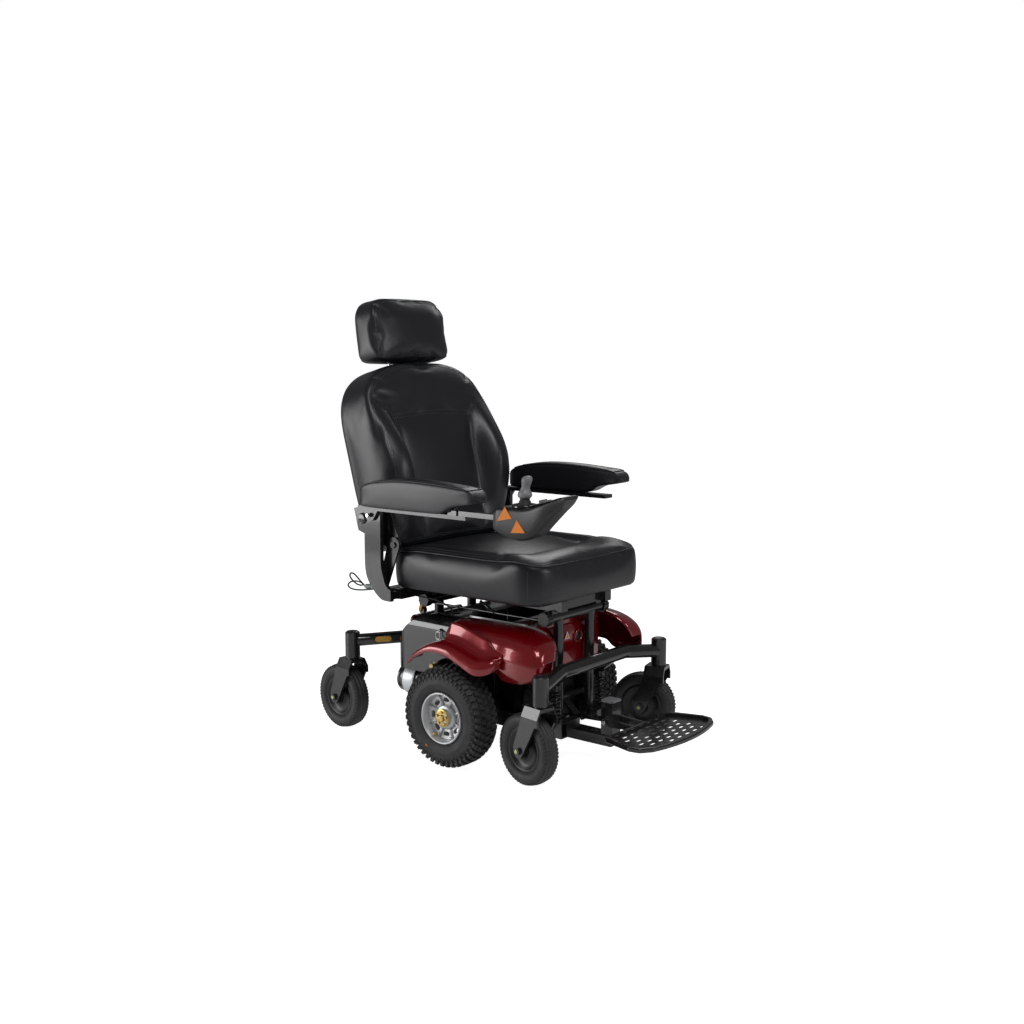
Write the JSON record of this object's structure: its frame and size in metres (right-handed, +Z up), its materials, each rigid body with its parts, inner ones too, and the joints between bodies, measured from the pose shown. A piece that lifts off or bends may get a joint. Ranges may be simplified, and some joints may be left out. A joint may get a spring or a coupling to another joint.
{
  "type": "power wheelchair",
  "caption": "Mid-wheel powered wheelchair with a padded reclining seat, flip-up armrests, joystick control, swivel casters and a folding footplate.",
  "frame": {"origin": "on the floor, straight below the middle of the drive axle, midway along the chair's length", "axes": "+Z up, -Y forward, +X to the seated person's left"},
  "size_m": [0.6755, 1.0977, 1.1857],
  "materials": {
    "drive_tyre": "matt, fine tread",
    "caster_tyre": "matt grey",
    "cast_rim": "cast, satin",
    "black_rim": "satin",
    "black_metal": "semi-gloss black",
    "spring_steel": "black",
    "motor": "black with a bright band",
    "battery": "matt",
    "red_cover": "gloss red",
    "black_cover": "fine grain",
    "knob": "satin black",
    "upholstery": "grained vinyl with double stitching",
    "headrest_steel": "polished",
    "bright_steel": "plated",
    "control_plastic": "satin",
    "panel_plastic": "satin grey",
    "button_grey": "satin",
    "stick_grey": "satin",
    "boot_rubber": "matt",
    "footplate_black": "textured black",
    "lead_black": "matt",
    "connector_grey": "matt"
  },
  "bodies": {
    "chassis": {"chassis_frame": "black_metal", "batteries": "battery", "power_module": "battery", "gearmotors": "motor", "side_cover_left": "red_cover", "side_cover_right": "red_cover", "front_cover": "red_cover", "rear_cover": "black_cover", "rear_hoop": "black_metal", "seat_tower": "black_metal", "end_knobs": "knob", "seat_frame": "black_metal", "seat_cushion": "upholstery", "backrest_hinges": "black_metal", "footrest_bracket": "black_metal", "joystick_lead": "lead_black", "lead_connector": "connector_grey", "front_springs": "spring_steel"},
    "drive_wheel_left": {"drive_tyre_left": "drive_tyre", "drive_rim_left": "cast_rim"},
    "drive_wheel_right": {"drive_tyre_right": "drive_tyre", "drive_rim_right": "cast_rim"},
    "front_beam": {"front_beam": "black_metal"},
    "rear_beam": {"rear_beam": "black_metal"},
    "caster_fork_front_right": {"caster_fork_front_right": "black_metal"},
    "caster_wheel_front_right": {"caster_tyre_front_right": "caster_tyre", "caster_rim_front_right": "black_rim"},
    "caster_fork_front_left": {"caster_fork_front_left": "black_metal"},
    "caster_wheel_front_left": {"caster_tyre_front_left": "caster_tyre", "caster_rim_front_left": "black_rim"},
    "caster_fork_rear_right": {"caster_fork_rear_right": "black_metal"},
    "caster_wheel_rear_right": {"caster_tyre_rear_right": "caster_tyre", "caster_rim_rear_right": "black_rim"},
    "caster_fork_rear_left": {"caster_fork_rear_left": "black_metal"},
    "caster_wheel_rear_left": {"caster_tyre_rear_left": "caster_tyre", "caster_rim_rear_left": "black_rim"},
    "backrest": {"back_frame": "black_metal", "back_cushion": "upholstery"},
    "headrest": {"headrest_posts": "headrest_steel", "headrest_pad": "upholstery"},
    "recline_lever": {"recline_lever": "black_metal"},
    "arm_post_left": {"arm_post_left": "black_metal"},
    "armrest_left": {"arm_bar_left": "black_metal", "arm_pad_left": "upholstery"},
    "arm_post_right": {"arm_post_right": "black_metal"},
    "armrest_right": {"arm_bar_right": "black_metal", "arm_pad_right": "upholstery", "control_rod": "bright_steel", "control_case": "control_plastic", "control_panel": "panel_plastic"},
    "joystick_ring": {"joystick_gimbal": "stick_grey"},
    "joystick": {"joystick_stick": "stick_grey", "joystick_boot": "boot_rubber"},
    "power_button": {"power_button": "button_grey"},
    "horn_button": {"horn_button": "button_grey"},
    "speed_dial": {"speed_dial": "button_grey"},
    "footplate": {"footplate": "footplate_black"},
    "freewheel_lever_left": {"freewheel_lever_left": "black_metal"},
    "freewheel_lever_right": {"freewheel_lever_right": "black_metal"},
    "seat_release_lever": {"seat_release_lever": "black_metal"}
  },
  "joints": [
    {"name": "drive_spin_left", "type": "hinge", "parent": "chassis", "child": "drive_wheel_left", "pos_m": [0.2643, 0, 0.13], "axis": [1, 0, 0], "continuous": true},
    {"name": "drive_spin_right", "type": "hinge", "parent": "chassis", "child": "drive_wheel_right", "pos_m": [-0.2643, 0, 0.13], "axis": [1, 0, 0], "continuous": true},
    {"name": "front_beam_pivot", "type": "hinge", "parent": "chassis", "child": "front_beam", "pos_m": [0, -0.13, 0.17], "axis": [1, 0, 0], "range_deg": [0, 3], "stiffness_Nm_per_rad": 900, "deforming": ["front_springs"]},
    {"name": "rear_beam_rocker", "type": "hinge", "parent": "chassis", "child": "rear_beam", "pos_m": [0, 0.312, 0.258], "axis": [0, 1, 0], "range_deg": [-6, 6]},
    {"name": "caster_swivel_front_right", "type": "hinge", "parent": "front_beam", "child": "caster_fork_front_right", "pos_m": [-0.261, -0.2845, 0.2405], "axis": [0, 0, 1], "continuous": true},
    {"name": "caster_spin_front_right", "type": "hinge", "parent": "caster_fork_front_right", "child": "caster_wheel_front_right", "pos_m": [-0.25371, -0.24314, 0.09], "axis": [0.9848, -0.1736, 0], "continuous": true},
    {"name": "caster_swivel_front_left", "type": "hinge", "parent": "front_beam", "child": "caster_fork_front_left", "pos_m": [0.261, -0.2845, 0.2405], "axis": [0, 0, 1], "continuous": true},
    {"name": "caster_spin_front_left", "type": "hinge", "parent": "caster_fork_front_left", "child": "caster_wheel_front_left", "pos_m": [0.25013, -0.24393, 0.09], "axis": [0.9659, 0.2588, 0], "continuous": true},
    {"name": "caster_swivel_rear_right", "type": "hinge", "parent": "rear_beam", "child": "caster_fork_rear_right", "pos_m": [-0.202, 0.417, 0.2405], "axis": [0, 0, 1], "continuous": true},
    {"name": "caster_spin_rear_right", "type": "hinge", "parent": "caster_fork_rear_right", "child": "caster_wheel_rear_right", "pos_m": [-0.19761, 0.45877, 0.09], "axis": [0.9945, -0.1045, 0], "continuous": true},
    {"name": "caster_swivel_rear_left", "type": "hinge", "parent": "rear_beam", "child": "caster_fork_rear_left", "pos_m": [0.202, 0.417, 0.2405], "axis": [0, 0, 1], "continuous": true},
    {"name": "caster_spin_rear_left", "type": "hinge", "parent": "caster_fork_rear_left", "child": "caster_wheel_rear_left", "pos_m": [0.19907, 0.4589, 0.09], "axis": [0.9976, 0.0698, 0], "continuous": true},
    {"name": "backrest_recline", "type": "hinge", "parent": "chassis", "child": "backrest", "pos_m": [0, 0.207, 0.545], "axis": [1, 0, 0], "range_deg": [-25, 70]},
    {"name": "headrest_height", "type": "slide", "parent": "backrest", "child": "headrest", "axis": [0, 0.2672, 0.9636], "range_m": [0, 0.07]},
    {"name": "recline_release", "type": "hinge", "parent": "chassis", "child": "recline_lever", "pos_m": [0.25, 0.24, 0.462], "axis": [-1, 0, 0], "range_deg": [0, 18], "stiffness_Nm_per_rad": 2, "springref_deg": -8.59},
    {"name": "arm_width_left", "type": "slide", "parent": "chassis", "child": "arm_post_left", "axis": [1, 0, 0], "range_m": [0, 0.05]},
    {"name": "arm_flip_left", "type": "hinge", "parent": "arm_post_left", "child": "armrest_left", "pos_m": [0.28, 0.262, 0.622], "axis": [-1, 0, 0], "range_deg": [0, 90]},
    {"name": "arm_width_right", "type": "slide", "parent": "chassis", "child": "arm_post_right", "axis": [-1, 0, 0], "range_m": [0, 0.05]},
    {"name": "arm_flip_right", "type": "hinge", "parent": "arm_post_right", "child": "armrest_right", "pos_m": [-0.28, 0.262, 0.622], "axis": [-1, 0, 0], "range_deg": [0, 90]},
    {"name": "joystick_pitch", "type": "hinge", "parent": "armrest_right", "child": "joystick_ring", "pos_m": [-0.306, -0.272, 0.676], "axis": [1, 0, 0], "range_deg": [-15, 15], "stiffness_Nm_per_rad": 0.4},
    {"name": "joystick_roll", "type": "hinge", "parent": "joystick_ring", "child": "joystick", "pos_m": [-0.306, -0.272, 0.676], "axis": [0, 1, 0], "range_deg": [-15, 15], "stiffness_Nm_per_rad": 0.4},
    {"name": "power_button_press", "type": "slide", "parent": "armrest_right", "child": "power_button", "axis": [0, -0.2647, -0.9643], "range_m": [0, 0.0015], "stiffness_N_per_m": 600},
    {"name": "horn_button_press", "type": "slide", "parent": "armrest_right", "child": "horn_button", "axis": [0, -0.2647, -0.9643], "range_m": [0, 0.0015], "stiffness_N_per_m": 600},
    {"name": "speed_dial_turn", "type": "hinge", "parent": "armrest_right", "child": "speed_dial", "pos_m": [-0.306, -0.32672, 0.69913], "axis": [0, 0.2647, 0.9643], "range_deg": [-135, 135]},
    {"name": "footplate_fold", "type": "hinge", "parent": "chassis", "child": "footplate", "pos_m": [0, -0.31, 0.114], "axis": [-1, 0, 0], "range_deg": [0, 90]},
    {"name": "freewheel_left", "type": "hinge", "parent": "chassis", "child": "freewheel_lever_left", "pos_m": [0.199, 0.05, 0.176], "axis": [-1, 0, 0], "range_deg": [0, 40]},
    {"name": "freewheel_right", "type": "hinge", "parent": "chassis", "child": "freewheel_lever_right", "pos_m": [-0.199, 0.05, 0.176], "axis": [-1, 0, 0], "range_deg": [0, 40]},
    {"name": "seat_release", "type": "hinge", "parent": "chassis", "child": "seat_release_lever", "pos_m": [-0.092, 0.241, 0.38], "axis": [1, 0, 0], "range_deg": [0, 30], "stiffness_Nm_per_rad": 1}
  ]
}
